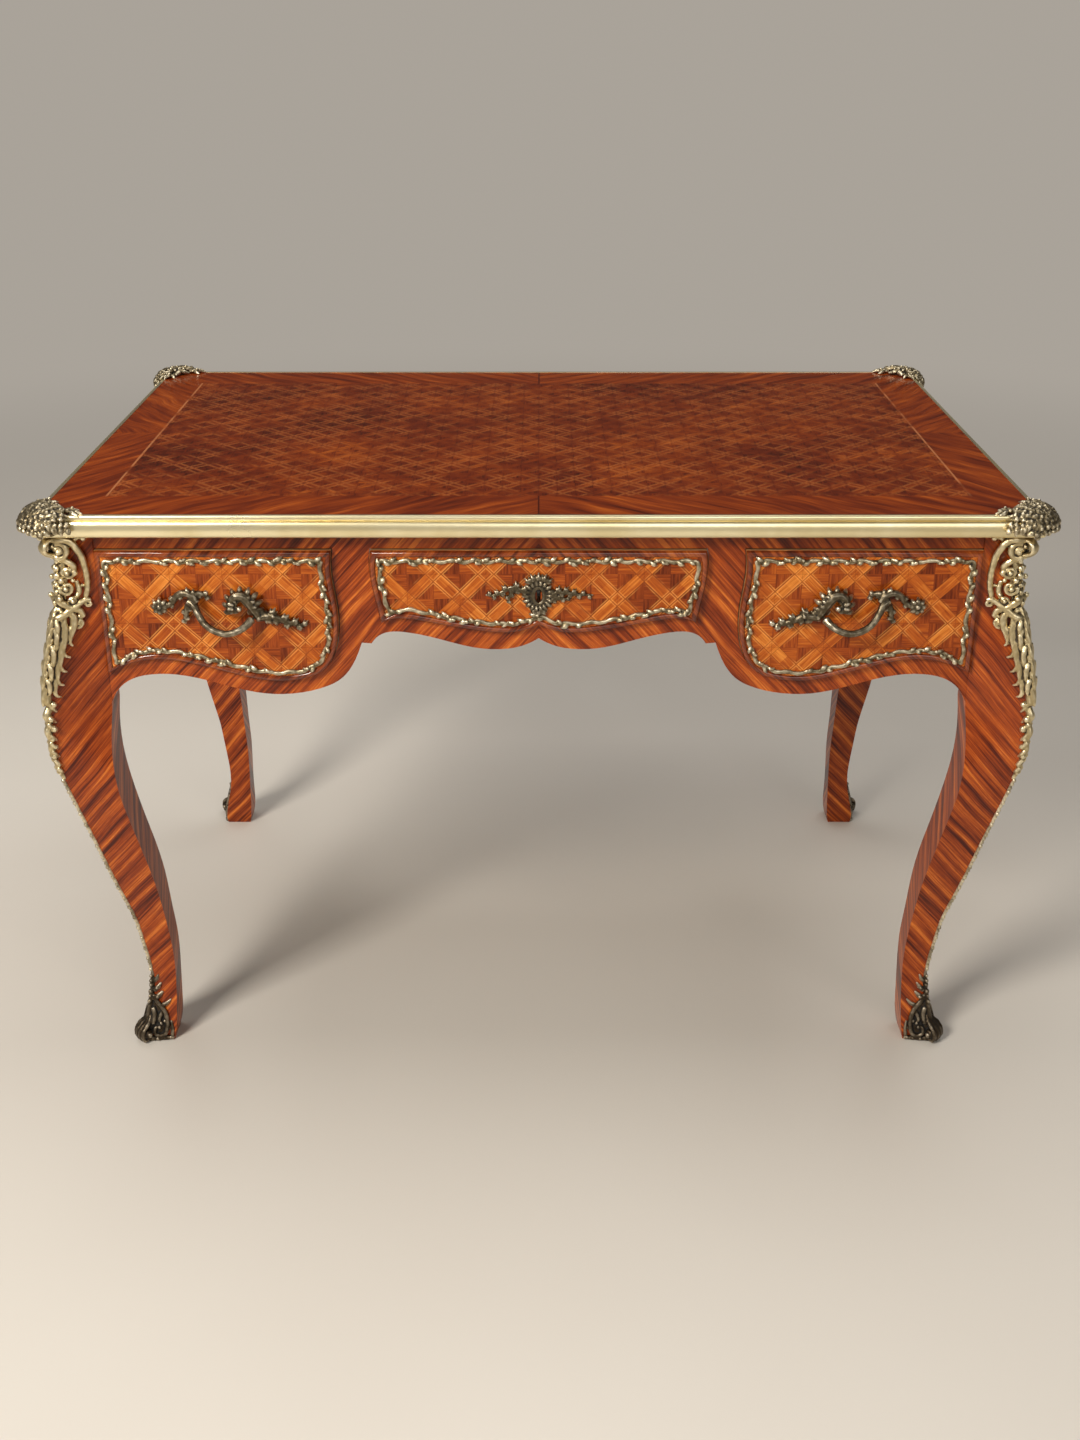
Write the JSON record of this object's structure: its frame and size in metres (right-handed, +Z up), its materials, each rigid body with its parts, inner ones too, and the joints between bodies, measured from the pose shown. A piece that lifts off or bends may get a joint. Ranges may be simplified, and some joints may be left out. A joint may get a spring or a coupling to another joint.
{
  "type": "writing table",
  "caption": "Rococo style writing table on cabriole legs with parquetry top, shaped frieze drawers, a keyed centre drawer, and cast brass mounts and handles.",
  "frame": {"origin": "on the floor, under the centre of the table", "axes": "+X along the front to the right as seen from the front, +Y to the back, +Z up; the drawers open towards -Y"},
  "size_m": [1.226, 0.806, 0.787],
  "materials": {
    "parquetry": "french polished parquetry of crossing diagonal bands",
    "crossbanding": "french polished diagonal-grain crossbanding",
    "striped_veneer": "french polished striped veneer",
    "oak": "plain unpolished secondary timber",
    "polished_brass": "pale polished brass",
    "gilt_brass": "cast and gilded, lightly worn",
    "aged_brass": "cast, dulled with dark recesses",
    "dark_bronze": "cast, dark patina",
    "lock_steel": "plain steel"
  },
  "bodies": {
    "table_frame": {"top_panel": "oak", "top_field_parquetry": "parquetry", "top_border_banding": "crossbanding", "top_edge_moulding": "polished_brass", "front_top_rail": "striped_veneer", "front_bottom_rail": "striped_veneer", "drawer_divider_right": "striped_veneer", "drawer_divider_left": "striped_veneer", "back_apron": "striped_veneer", "back_dummy_front_right": "parquetry", "back_dummy_front_left": "parquetry", "back_dummy_front_centre": "parquetry", "back_panel_frames": "aged_brass", "side_apron_right": "striped_veneer", "side_apron_left": "striped_veneer", "side_panel_frames": "aged_brass", "right_drawer_runners": "oak", "left_drawer_runners": "oak", "centre_drawer_runners": "oak", "glue_blocks": "oak", "leg_edge_strips": "gilt_brass", "leg_back_right": "striped_veneer", "leg_back_left": "striped_veneer", "leg_front_right": "striped_veneer", "leg_front_left": "striped_veneer", "knee_mount_back_right": "gilt_brass", "knee_mount_back_left": "gilt_brass", "knee_mount_front_right": "gilt_brass", "knee_mount_front_left": "gilt_brass", "foot_mount_back_right": "dark_bronze", "foot_mount_back_left": "dark_bronze", "foot_mount_front_right": "dark_bronze", "foot_mount_front_left": "dark_bronze", "corner_mount_back_right": "aged_brass", "corner_mount_back_left": "aged_brass", "corner_mount_front_right": "aged_brass", "corner_mount_front_left": "aged_brass"},
    "left_drawer": {"left_drawer_front": "parquetry", "left_drawer_sides": "oak", "left_drawer_back": "oak", "left_drawer_bottom": "oak", "left_drawer_frame": "aged_brass", "left_drawer_handle": "aged_brass", "left_handle_nuts": "aged_brass"},
    "right_drawer": {"right_drawer_front": "parquetry", "right_drawer_sides": "oak", "right_drawer_back": "oak", "right_drawer_bottom": "oak", "right_drawer_frame": "aged_brass", "right_drawer_handle": "aged_brass", "right_handle_nuts": "aged_brass"},
    "centre_drawer": {"centre_drawer_front": "parquetry", "centre_drawer_sides": "oak", "centre_drawer_back": "oak", "centre_drawer_bottom": "oak", "centre_drawer_frame": "aged_brass", "lock_case": "lock_steel", "keyhole_escutcheon": "aged_brass"},
    "lock_bolt": {"lock_bolt": "lock_steel"}
  },
  "joints": [
    {"name": "left_drawer_slide", "type": "slide", "parent": "table_frame", "child": "left_drawer", "axis": [0, -1, 0], "range_m": [0, 0.4]},
    {"name": "centre_drawer_slide", "type": "slide", "parent": "table_frame", "child": "centre_drawer", "axis": [0, -1, 0], "range_m": [0, 0.4]},
    {"name": "right_drawer_slide", "type": "slide", "parent": "table_frame", "child": "right_drawer", "axis": [0, -1, 0], "range_m": [0, 0.4]},
    {"name": "lock_bolt_throw", "type": "slide", "parent": "centre_drawer", "child": "lock_bolt", "axis": [0, 0, 1], "range_m": [0, 0.008]}
  ]
}
